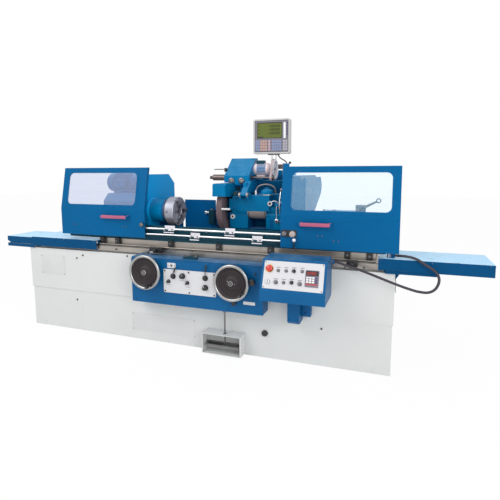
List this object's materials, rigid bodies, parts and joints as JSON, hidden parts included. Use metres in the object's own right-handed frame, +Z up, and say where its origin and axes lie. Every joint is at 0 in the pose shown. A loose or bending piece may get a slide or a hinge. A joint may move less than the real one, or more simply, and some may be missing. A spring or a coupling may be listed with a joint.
{
  "type": "cylindrical grinding machine",
  "caption": "Universal cylindrical grinding machine: long bed with sliding table, chucked workhead, tailstock, cross-sliding wheelhead with flip-down internal spindle, doors and controls.",
  "frame": {"origin": "middle of the front bed's flat underside, on the floor", "axes": "+X along the bed to the operator's right, +Y from the operator towards the wheelhead, +Z up"},
  "size_m": [3.7666, 1.75, 1.77],
  "materials": {
    "cast_white": "satin off-white machine paint",
    "blue_paint": "satin blue machine paint",
    "teal_paint": "dark blue-green paint",
    "ground_steel": "ground",
    "black_steel": "blackened",
    "black_plastic": "matt",
    "red_plastic": "semi-gloss red",
    "abrasive": "vitrified abrasive",
    "clear_sheet": "clear sheet",
    "belt_rubber": "matt",
    "conduit_sleeve": "matt grey",
    "console_shell": "fine texture"
  },
  "bodies": {
    "bed": {"base_casting": "cast_white", "apron_housing": "blue_paint", "knob_plate": "cast_white", "control_box": "blue_paint", "control_column": "blue_paint", "pedal_box": "cast_white", "bed_tray_left": "teal_paint", "bed_tray_right": "teal_paint", "splash_panel": "blue_paint", "conduit": "conduit_sleeve"},
    "table": {"lower_table": "ground_steel", "table_guard_left": "blue_paint", "table_guard_right": "blue_paint"},
    "swivel_table": {"upper_table": "ground_steel", "front_gutter": "teal_paint", "headstock_body": "blue_paint", "headstock_motor": "teal_paint", "headstock_panel": "blue_paint"},
    "chuck": {"chuck_body": "ground_steel"},
    "jaw_1": {"chuck_jaw_1": "black_steel"},
    "jaw_2": {"chuck_jaw_2": "black_steel"},
    "jaw_3": {"chuck_jaw_3": "black_steel"},
    "door_left": {"left_door": "blue_paint", "left_window": "clear_sheet"},
    "door_right": {"right_door": "blue_paint", "right_window": "clear_sheet"},
    "tailstock": {"tailstock_body": "blue_paint"},
    "quill": {"tailstock_quill": "ground_steel"},
    "quill_lever": {"tailstock_lever": "ground_steel"},
    "dog_left": {"trip_dog_left": "black_steel"},
    "dog_right": {"trip_dog_right": "black_steel"},
    "saddle": {"wheelhead_saddle": "blue_paint"},
    "wheelhead": {"wheelhead_body": "blue_paint", "wheel_guard": "blue_paint", "wheel_motor": "teal_paint", "belt_guard": "blue_paint", "drive_belt": "belt_rubber", "console_arm": "ground_steel"},
    "spindle": {"wheel_spindle": "ground_steel", "grinding_wheel": "abrasive"},
    "drive_pulley": {"motor_pulley": "black_steel"},
    "attachment": {"internal_bracket": "blue_paint", "internal_belt": "belt_rubber"},
    "bore_spindle": {"internal_spindle": "ground_steel"},
    "bore_pulley": {"internal_pulley": "ground_steel"},
    "readout": {"readout_console": "console_shell"},
    "wheel_table": {"table_handwheel": "ground_steel"},
    "wheel_infeed": {"infeed_handwheel": "ground_steel"},
    "lever_table": {"table_lever": "ground_steel"},
    "lever_speed": {"speed_lever": "ground_steel"},
    "knob_dwell": {"dwell_knob": "black_plastic"},
    "knob_flow": {"flow_knob": "black_plastic"},
    "lever_reverse": {"reversing_lever": "teal_paint"},
    "stop": {"emergency_stop": "red_plastic"},
    "switch_upper": {"selector_upper": "black_plastic"},
    "switch_lower": {"selector_lower": "black_plastic"},
    "button_start": {"start_button": "black_plastic"},
    "button_pump": {"pump_button": "black_plastic"},
    "pedal": {"foot_pedal": "black_steel"},
    "rod": {"pedal_rod": "ground_steel"}
  },
  "joints": [
    {"name": "table_slide", "type": "slide", "parent": "bed", "child": "table", "axis": [1, 0, 0], "range_m": [-0.86, 0.24], "deforming": ["conduit"]},
    {"name": "table_swivel", "type": "hinge", "parent": "table", "child": "swivel_table", "pos_m": [0.3055, -0.065, 0.757], "axis": [0, 0, 1], "range_deg": [-6, 3]},
    {"name": "chuck_spin", "type": "hinge", "parent": "swivel_table", "child": "chuck", "pos_m": [-0.13, -0.04, 1.017], "axis": [1, 0, 0], "continuous": true},
    {"name": "jaw_1_slide", "type": "slide", "parent": "chuck", "child": "jaw_1", "axis": [0, -0.5, 0.866], "range_m": [-0.008, 0.02]},
    {"name": "jaw_2_slide", "type": "slide", "parent": "chuck", "child": "jaw_2", "axis": [0, -0.5, -0.866], "range_m": [-0.008, 0.02]},
    {"name": "jaw_3_slide", "type": "slide", "parent": "chuck", "child": "jaw_3", "axis": [0, 1, 0], "range_m": [-0.008, 0.02]},
    {"name": "left_door_slide", "type": "slide", "parent": "swivel_table", "child": "door_left", "axis": [1, 0, 0], "range_m": [0, 0.4]},
    {"name": "right_door_slide", "type": "slide", "parent": "swivel_table", "child": "door_right", "axis": [-1, 0, 0], "range_m": [0, 0.37]},
    {"name": "tailstock_slide", "type": "slide", "parent": "swivel_table", "child": "tailstock", "axis": [1, 0, 0], "range_m": [-0.6, 0.08]},
    {"name": "quill_lever_turn", "type": "hinge", "parent": "tailstock", "child": "quill_lever", "pos_m": [1.271, -0.04, 1.079], "axis": [0, 1, 0], "range_deg": [-50, 14]},
    {"name": "quill_slide", "type": "slide", "parent": "tailstock", "child": "quill", "axis": [1, 0, 0], "range_m": [-0.035, 0.01]},
    {"name": "left_dog_slide", "type": "slide", "parent": "table", "child": "dog_left", "axis": [1, 0, 0], "range_m": [-0.48, 0.2]},
    {"name": "right_dog_slide", "type": "slide", "parent": "table", "child": "dog_right", "axis": [1, 0, 0], "range_m": [-0.8, 0.11]},
    {"name": "wheelhead_slide", "type": "slide", "parent": "bed", "child": "saddle", "axis": [0, 1, 0], "range_m": [-0.16, 0.086]},
    {"name": "wheelhead_swivel", "type": "hinge", "parent": "saddle", "child": "wheelhead", "pos_m": [0.4, 0.73, 0.8], "axis": [0, 0, 1], "range_deg": [-8, 30]},
    {"name": "spindle_spin", "type": "hinge", "parent": "wheelhead", "child": "spindle", "pos_m": [0.1, 0.332, 1.017], "axis": [1, 0, 0], "continuous": true},
    {"name": "motor_spin", "type": "hinge", "parent": "wheelhead", "child": "drive_pulley", "pos_m": [0.68, 0.86, 1.2303], "axis": [1, 0, 0], "continuous": true},
    {"name": "attachment_flip", "type": "hinge", "parent": "wheelhead", "child": "attachment", "pos_m": [0.326, 0.182, 1.1395], "axis": [1, 0, 0], "range_deg": [0, 180]},
    {"name": "bore_spindle_spin", "type": "hinge", "parent": "attachment", "child": "bore_spindle", "pos_m": [0, 0.37, 1.274], "axis": [1, 0, 0], "continuous": true},
    {"name": "bore_pulley_spin", "type": "hinge", "parent": "attachment", "child": "bore_pulley", "pos_m": [0.5, 0.46, 1.342], "axis": [1, 0, 0], "continuous": true},
    {"name": "readout_swivel", "type": "hinge", "parent": "wheelhead", "child": "readout", "pos_m": [0.47, 0.56, 1.475], "axis": [0, 0, 1], "range_deg": [-60, 60]},
    {"name": "table_handwheel_turn", "type": "hinge", "parent": "bed", "child": "wheel_table", "pos_m": [-0.234, -0.4, 0.597], "axis": [0, 1, 0], "continuous": true},
    {"name": "infeed_handwheel_turn", "type": "hinge", "parent": "bed", "child": "wheel_infeed", "pos_m": [0.445, -0.4, 0.575], "axis": [0, 1, 0], "continuous": true},
    {"name": "table_lever_turn", "type": "hinge", "parent": "bed", "child": "lever_table", "pos_m": [-0.02, -0.37, 0.577], "axis": [0, 1, 0], "range_deg": [-25, 25]},
    {"name": "speed_lever_turn", "type": "hinge", "parent": "bed", "child": "lever_speed", "pos_m": [0.235, -0.37, 0.583], "axis": [0, 1, 0], "range_deg": [-25, 25]},
    {"name": "dwell_knob_turn", "type": "hinge", "parent": "bed", "child": "knob_dwell", "pos_m": [0.056, -0.37, 0.583], "axis": [0, 1, 0], "range_deg": [-135, 135]},
    {"name": "flow_knob_turn", "type": "hinge", "parent": "bed", "child": "knob_flow", "pos_m": [0.235, -0.37, 0.514], "axis": [0, 1, 0], "range_deg": [-135, 135]},
    {"name": "reversing_lever_turn", "type": "hinge", "parent": "bed", "child": "lever_reverse", "pos_m": [0.086, -0.2885, 0.7], "axis": [0, 0, 1], "range_deg": [-12, 12]},
    {"name": "emergency_stop_press", "type": "slide", "parent": "bed", "child": "stop", "axis": [0, 0.9229, -0.385], "range_m": [0, 0.006], "stiffness_N_per_m": 1500, "springref_m": -0.004},
    {"name": "selector_upper_turn", "type": "hinge", "parent": "bed", "child": "switch_upper", "pos_m": [0.898, -0.47869, 0.713], "axis": [0, 0.9229, -0.385], "range_deg": [-45, 45]},
    {"name": "selector_lower_turn", "type": "hinge", "parent": "bed", "child": "switch_lower", "pos_m": [0.89, -0.50623, 0.647], "axis": [0, 0.9229, -0.385], "range_deg": [-45, 45]},
    {"name": "start_press", "type": "slide", "parent": "bed", "child": "button_start", "axis": [0, 0.9229, -0.385], "range_m": [0, 0.005], "stiffness_N_per_m": 900, "springref_m": -0.003},
    {"name": "pump_press", "type": "slide", "parent": "bed", "child": "button_pump", "axis": [0, 0.9229, -0.385], "range_m": [0, 0.005], "stiffness_N_per_m": 900, "springref_m": -0.003},
    {"name": "pedal_press", "type": "hinge", "parent": "bed", "child": "pedal", "pos_m": [0.33, -0.254, 0.08], "axis": [1, 0, 0], "range_deg": [0, 12], "stiffness_Nm_per_rad": 6, "springref_deg": -14.32},
    {"name": "pedal_rod_slide", "type": "slide", "parent": "bed", "child": "rod", "axis": [0, 0, 1], "range_m": [-0.008, 0]}
  ],
  "couplings": [
    {"joint": "jaw_2_slide", "follows": "jaw_1_slide", "ratio": 1},
    {"joint": "jaw_3_slide", "follows": "jaw_1_slide", "ratio": 1},
    {"joint": "quill_slide", "follows": "quill_lever_turn", "m_per_rad": 0.04},
    {"joint": "motor_spin", "follows": "spindle_spin", "ratio": 1.7273},
    {"joint": "bore_spindle_spin", "follows": "bore_pulley_spin", "ratio": 3.36},
    {"joint": "pedal_rod_slide", "follows": "pedal_press", "m_per_rad": -0.036}
  ]
}
